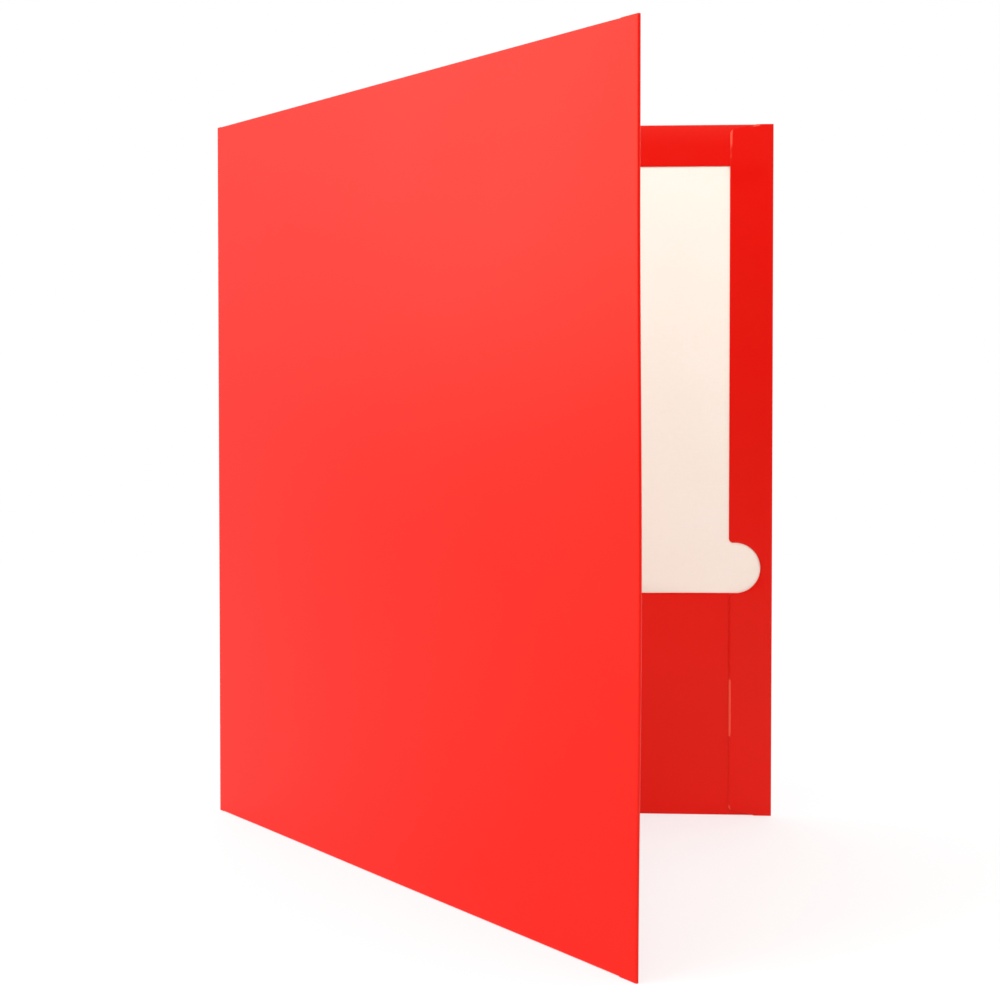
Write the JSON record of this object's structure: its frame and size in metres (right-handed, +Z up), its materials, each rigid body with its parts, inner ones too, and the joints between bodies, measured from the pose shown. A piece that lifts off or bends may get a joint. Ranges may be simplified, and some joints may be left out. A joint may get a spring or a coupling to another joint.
{
  "type": "pocket folder",
  "caption": "Pocket folder of glossy red laminated card standing part open, with glued hems, thumb notches and pockets on covers that swing about a narrow spine.",
  "frame": {"origin": "middle of the footprint's box, on the surface that the folder stands on", "axes": "+Z up along the spine, +X along the back cover from spine to outer edge, +Y out of the back cover"},
  "size_m": [0.2406, 0.1688, 0.2985],
  "materials": {
    "laminated_card": "gloss",
    "glue": "dried adhesive"
  },
  "bodies": {
    "back_leaf": {"back_cover": "laminated_card", "back_top_hem": "laminated_card", "back_pocket": "laminated_card", "back_side_hem": "laminated_card", "back_top_hem_glue": "glue", "back_side_hem_glue": "glue", "back_pocket_glue": "glue", "back_corner_glue": "glue"},
    "spine": {"spine_strip": "laminated_card"},
    "front_leaf": {"front_cover": "laminated_card", "front_top_hem": "laminated_card", "front_pocket": "laminated_card", "front_side_hem": "laminated_card", "front_top_hem_glue": "glue", "front_side_hem_glue": "glue", "front_pocket_glue": "glue", "front_corner_glue": "glue"}
  },
  "joints": [
    {"name": "back_crease", "type": "hinge", "parent": "spine", "child": "back_leaf", "pos_m": [-0.1187, 0.084, 0.14925], "axis": [0, 0, 1], "range_deg": [-19.6, 68.1]},
    {"name": "front_crease", "type": "hinge", "parent": "spine", "child": "front_leaf", "pos_m": [-0.1199, 0.08104, 0.14925], "axis": [0, 0, -1], "range_deg": [-19.6, 68.1]}
  ],
  "couplings": [
    {"joint": "front_crease", "follows": "back_crease", "ratio": 1}
  ]
}
